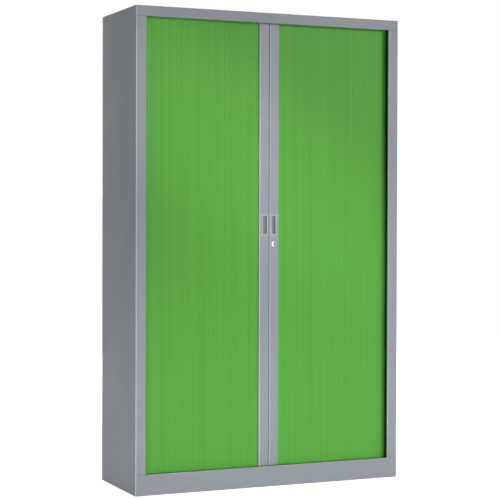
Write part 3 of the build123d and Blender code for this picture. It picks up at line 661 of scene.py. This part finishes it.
def make_curtain(side_name, sign, draw):
    """A mat behind the front and round the corner."""
    low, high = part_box(f"{side_name}_curtain")
    start = min(abs(low[0]), abs(high[0]))
    side = max(abs(low[0]), abs(high[0]))
    front, tail_end = low[1], high[1]
    straight = side - MAT_CORNER_RADIUS - start
    length = straight + MAT_CORNER_RADIUS * math.pi / 2 + tail_end - front - MAT_CORNER_RADIUS
    outer = mat_section(length)
    inner = [(along, MAT_THICKNESS) for along, _ in outer]
    loop = outer + inner[::-1]
    sway = [draw.uniform(-1, 1) for _ in range(WAVE_DRAWS)]
    vertices = []
    for row in range(MAT_ROWS):
        share = row / (MAT_ROWS - 1)
        z = low[2] + (high[2] - low[2]) * share
        for along, depth in loop:
            x, y = mat_place(along, depth, start, front, side)
            wave = sum(
                sway[k] * math.sin((k + 1) * math.pi * share + WAVE_SHIFT * k * along)
                for k in range(WAVES)
            )
            y += WAVE_HEIGHT * wave * math.sin(math.pi * share)
            vertices.append((sign * x, y, z))
    count = len(loop)
    faces = ring_faces(MAT_ROWS, count)
    top = (MAT_ROWS - 1) * count
    for k in range(len(outer) - 1):
        opposite = count - 1 - k
        faces.append((k, opposite, opposite - 1, k + 1))
        faces.append((top + k, top + k + 1, top + opposite - 1, top + opposite))
    piece = new_piece(
        f"{side_name}_curtain_mat", vertices, faces, "curtain_plastic", "carcass", crease=35
    )
    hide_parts(f"{side_name}_curtain")
    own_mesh(piece)


# ---------------------------------------------------------------- handles, lock and screws


def make_finger_cup(side_name, sign):
    """A bezel across the bar's flat, a raised lip and a pocket with a rounded floor."""
    cup_x = (CUP_LOW[0] + CUP_HIGH[0]) / 2
    bezel_x = (BAR_INNER + BAR_OUTER) / 2
    level = (CUP_LOW[2] + CUP_HIGH[2]) / 2
    bezel_spare = CUP_HIGH[2] - CUP_LOW[2] - BEZEL_WIDTH
    pocket_spare = POCKET_HEIGHT - POCKET_WIDTH
    shell = POCKET_WIDTH + 2 * CUP_WALL
    lip = POCKET_WIDTH + 2 * LIP_WIDTH
    # centre, width, what the height has over the width, corner radius, depth behind the bar's face
    rings = [
        (cup_x, shell, pocket_spare, CUP_RADIUS, POCKET_DEPTH + CUP_WALL),
        (cup_x, shell, pocket_spare, CUP_RADIUS, 0.0),
    ]
    for narrower, radius, share in BEZEL_RINGS:
        rings.append((bezel_x, BEZEL_WIDTH - narrower, bezel_spare, radius, -share * BEZEL_RISE))
    for narrower, radius, height in LIP_RINGS:
        rings.append((cup_x, lip - narrower, pocket_spare, radius, -BEZEL_RISE - height))
    rings.append((cup_x, POCKET_WIDTH, pocket_spare, POCKET_RADIUS, MOUTH_DROP - BEZEL_RISE))
    for narrower, radius, height in FLOOR_RINGS:
        width = POCKET_WIDTH - narrower
        rings.append((cup_x, width, pocket_spare, radius, POCKET_DEPTH - height))
    vertices = []
    for centre, width, taller, radius, depth in rings:
        for across, up in rounded_rectangle(width, width + taller, radius):
            vertices.append((sign * (centre + across), BAR_FRONT + depth, level + up))
    count = len(vertices) // len(rings)
    last = len(vertices) - count
    faces = ring_faces(len(rings), count)
    faces.append(tuple(range(count)))
    faces.append(tuple(range(last, last + count)))
    piece = new_piece(
        f"{side_name}_cup", vertices, faces, "cup_plastic", f"{side_name}_shutter", crease=40
    )
    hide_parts(f"{side_name}_finger_cup")


def make_lock_ring():
    """The lock's housing, its face a rounded ring that is dished towards the plug."""
    centre = ((LOCK_LOW[0] + LOCK_HIGH[0]) / 2, (LOCK_LOW[2] + LOCK_HIGH[2]) / 2)
    edge = (LOCK_HIGH[0] - LOCK_LOW[0]) / 2
    rise = BAR_FRONT - LOCK_LOW[1]
    profile = (
        (LOCK_BODY_RADIUS, LOCK_HIGH[1]),
        (LOCK_BODY_RADIUS, BAR_FRONT),
        *((edge - inset, BAR_FRONT - share * rise) for inset, share in LOCK_FACE),
        (LOCK_BORE_RADIUS, BAR_FRONT - LOCK_DISH * rise),
        (LOCK_BORE_RADIUS, LOCK_HIGH[1]),
    )
    vertices = turned((*profile, profile[0]), centre)
    faces = ring_faces(len(profile) + 1, TURNED_STEPS)
    piece = new_piece("lock_ring", vertices, faces, "nickel", "right_shutter", crease=40)
    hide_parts("lock_housing")


def screw_head(centre, face):
    """Points of a pan head with a cross recess, standing behind the plane y = face."""
    points = []
    for share in SCREW_HEAD_RINGS:
        crown = SCREW_HEAD_RISE * (1 - share**4) + SCREW_HEAD_EDGE
        radius = SCREW_HEAD_RADIUS * share
        for step in range(TURNED_STEPS):
            angle = 2 * math.pi * step / TURNED_STEPS
            in_recess = share < RECESS_REACH and abs(math.sin(2 * angle)) < RECESS_WIDTH
            height = crown - RECESS_DEPTH if in_recess else crown
            x = centre[0] + radius * math.cos(angle)
            points.append((x, face + height, centre[1] + radius * math.sin(angle)))
    return points


def make_back_screws(side_name, sign):
    """Screws that hold a back panel to the folds of the top and the bottom panel."""
    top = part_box("top_panel")[1][2] - SCREW_INSET
    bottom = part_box("bottom_panel")[1][2] - SCREW_INSET
    spacing = (SIDE - SCREW_SIDE_MARGIN) / (SCREW_COLUMNS - 0.5)
    vertices, faces = [], []
    for level in (bottom, top):
        for column in range(SCREW_COLUMNS):
            centre = (sign * (spacing * (column + 0.5) + SCREW_SEAM_MARGIN), level)
            first = len(vertices)
            last = first + TURNED_STEPS * (len(SCREW_HEAD_RINGS) - 1)
            vertices += screw_head(centre, BACK_SKIN)
            faces += ring_faces(len(SCREW_HEAD_RINGS), TURNED_STEPS, first)
            faces.append(tuple(range(last, last + TURNED_STEPS)))
    new_piece(f"{side_name}_back_screws", vertices, faces, "zinc_steel", "carcass", crease=35)


# ---------------------------------------------------------------- studio


def direct_view(tree):
    """1 for a ray of the camera, or one that a reflection or glass has carried."""
    path = tree.nodes.new("ShaderNodeLightPath")
    ray = path.outputs["Is Camera Ray"]
    for kind in ("Is Glossy Ray", "Is Transmission Ray"):
        either = tree.nodes.new("ShaderNodeMath")
        either.operation = "MAXIMUM"
        tree.links.new(ray, either.inputs[0])
        tree.links.new(path.outputs[kind], either.inputs[1])
        ray = either.outputs["Value"]
    return ray


def make_floor():
    """Pale paper that keeps the shadow and looks nearly white."""
    mesh = bpy.data.meshes.new("studio_floor")
    corners = [
        (across * FLOOR_REACH, along * FLOOR_REACH, 0)
        for across, along in ((-1, -1), (1, -1), (1, 1), (-1, 1))
    ]
    mesh.from_pydata(corners, [], [(0, 1, 2, 3)])
    floor = add_object("studio_floor", mesh)
    paper = Shader("studio_floor", 0.9, Specular_IOR_Level=0.0)
    cloud = paper.span(paper.noise(PAPER, detail=2.0), 0, 1)
    paper.set("Base Color", paper.blend(cloud, PAPER_DARK, PAPER_PALE))
    glow = paper.add("ShaderNodeEmission", Strength=FLOOR_GLOW)
    both = paper.add("ShaderNodeAddShader")
    mix = paper.add("ShaderNodeMixShader")
    paper.link(paper.bsdf.outputs["BSDF"], both.inputs[0])
    paper.link(glow.outputs["Emission"], both.inputs[1])
    paper.link(direct_view(paper.tree), mix.inputs[0])
    paper.link(paper.bsdf.outputs["BSDF"], mix.inputs[1])
    paper.link(both.outputs["Shader"], mix.inputs[2])
    paper.link(mix.outputs["Shader"], paper.tree.nodes["Material Output"].inputs["Surface"])
    mesh.materials.append(paper.material)


def make_world():
    """Soft grey light all round, with a white background for what looks at it."""
    world = bpy.data.worlds.new("studio")
    bpy.context.scene.world = world
    world.use_nodes = True
    nodes, links = world.node_tree.nodes, world.node_tree.links
    ambient = nodes["Background"]
    ambient.inputs["Color"].default_value = SKY
    ambient.inputs["Strength"].default_value = AMBIENT
    white = nodes.new("ShaderNodeBackground")
    white.inputs["Color"].default_value = (1, 1, 1, 1)
    white.inputs["Strength"].default_value = 1.0
    mix = nodes.new("ShaderNodeMixShader")
    links.new(direct_view(world.node_tree), mix.inputs[0])
    links.new(ambient.outputs["Background"], mix.inputs[1])
    links.new(white.outputs["Background"], mix.inputs[2])
    links.new(mix.outputs["Shader"], nodes["World Output"].inputs["Surface"])


def place_lamp(data, place, target):
    lamp = add_object(data.name, data)
    lamp.location = place
    direction = Vector(target) - Vector(place)
    lamp.rotation_euler = direction.to_track_quat("-Z", "Y").to_euler()
    return lamp


def make_lamps():
    for name, azimuth, distance, lamp_height, target, width, height, power in LAMPS:
        data = bpy.data.lights.new(name, "AREA")
        data.shape = "RECTANGLE"
        data.size = width
        data.size_y = height
        data.energy = power
        angle = math.radians(azimuth)
        place = (distance * math.sin(angle), -distance * math.cos(angle), lamp_height)
        place_lamp(data, place, target)


def make_beam():
    """A soft band of light that falls across the front from its upper left."""
    data = bpy.data.lights.new("beam", "SPOT")
    data.energy = BEAM_POWER
    data.spot_size = math.radians(BEAM_ANGLE)
    data.spot_blend = 1.0
    data.shadow_soft_size = BEAM_SOFTNESS
    lamp = place_lamp(data, BEAM_PLACE, BEAM_AIM)
    lamp.rotation_euler.rotate_axis("Z", math.radians(-BEAM_TURN))
    lamp.scale = (BEAM_STRETCH, 1, 1)


def make_camera():
    data = bpy.data.cameras.new("camera")
    data.sensor_width = CAMERA_SENSOR
    data.lens = CAMERA_LENS
    data.shift_y = CAMERA_SHIFT_Y
    yaw, pitch, roll = (math.radians(a) for a in (CAMERA_YAW, CAMERA_PITCH, CAMERA_ROLL))
    ahead = Vector(
        (math.sin(yaw) * math.cos(pitch), math.cos(yaw) * math.cos(pitch), math.sin(pitch))
    )
    right = Vector((math.cos(yaw), -math.sin(yaw), 0))
    up = right.cross(ahead)
    rolled_right = math.cos(roll) * right + math.sin(roll) * up
    rolled_up = math.cos(roll) * up - math.sin(roll) * right
    matrix = Matrix((rolled_right, rolled_up, -ahead)).transposed().to_4x4()
    matrix.translation = CAMERA_PLACE
    camera = add_object("camera", data)
    camera.matrix_world = matrix
    bpy.context.scene.camera = camera


def main():
    draw = random.Random(RANDOM_SEED)
    finish_nodes()
    for side_name, sign in (("left", -1), ("right", 1)):
        make_curtain(side_name, sign, draw)
        make_finger_cup(side_name, sign)
        make_back_screws(side_name, sign)
    make_lock_ring()
    make_floor()
    make_world()
    make_lamps()
    make_beam()
    make_camera()
    bpy.context.scene.view_settings.view_transform = "Standard"


main()
